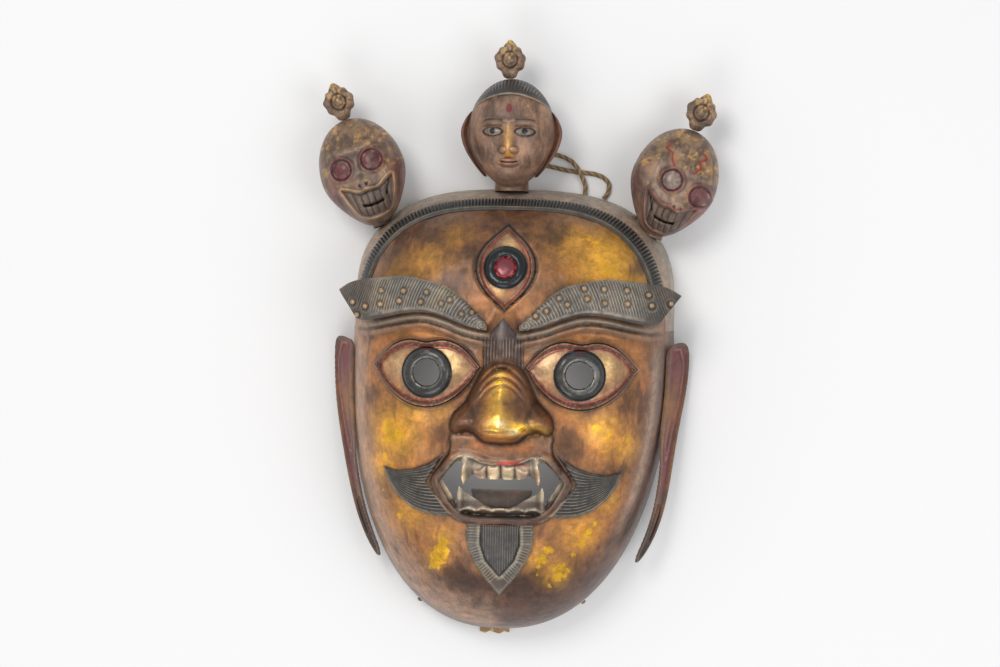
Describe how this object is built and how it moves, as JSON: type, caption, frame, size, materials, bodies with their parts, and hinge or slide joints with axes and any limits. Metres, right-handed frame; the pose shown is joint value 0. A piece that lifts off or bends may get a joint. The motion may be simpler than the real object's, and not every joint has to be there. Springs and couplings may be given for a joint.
{
  "type": "tibetan cham mask",
  "caption": "Hollow fierce dance mask of hammered metal with pierced pupils and mouth, brow plates, slit-lobed ears and a crown of small heads.",
  "frame": {"origin": "on the plane the mask's back rim lies on, under the middle of the whole mask", "axes": "+Z out of the face, +Y from chin to crown, +X to the viewer's right as the face looks at the viewer"},
  "size_m": [0.3772, 0.5628, 0.1534],
  "materials": {
    "face": "worn gilt and brown lacquer on hammered copper",
    "tongue": "dark tarnish",
    "cap": "dull grey-brown lacquer",
    "hair": "dark slate lacquer, worn light on the ridges",
    "brow": "dark slate lacquer with engraved hairs",
    "ear": "worn red-purple lacquer",
    "head": "worn gilt and red-brown lacquer",
    "skull": "worn gilt over grey-pink lacquer",
    "finial": "worn gilt, crusted",
    "rivet": "dull copper",
    "cord": "tan twisted cord"
  },
  "bodies": {
    "root": {"face_shell": "face", "tongue_plate": "tongue", "cap_sheet": "cap", "hair_band": "hair", "brow_left": "brow", "brow_right": "brow", "ear_left": "ear", "ear_right": "ear", "crown_head": "head", "skull_left": "skull", "skull_right": "skull", "finial_left": "finial", "finial_middle": "finial", "finial_right": "finial", "chin_tab": "finial", "chin_rivet_left": "rivet", "chin_rivet_right": "rivet", "neck_rivet": "rivet", "hanging_cord": "cord"}
  },
  "joints": []
}
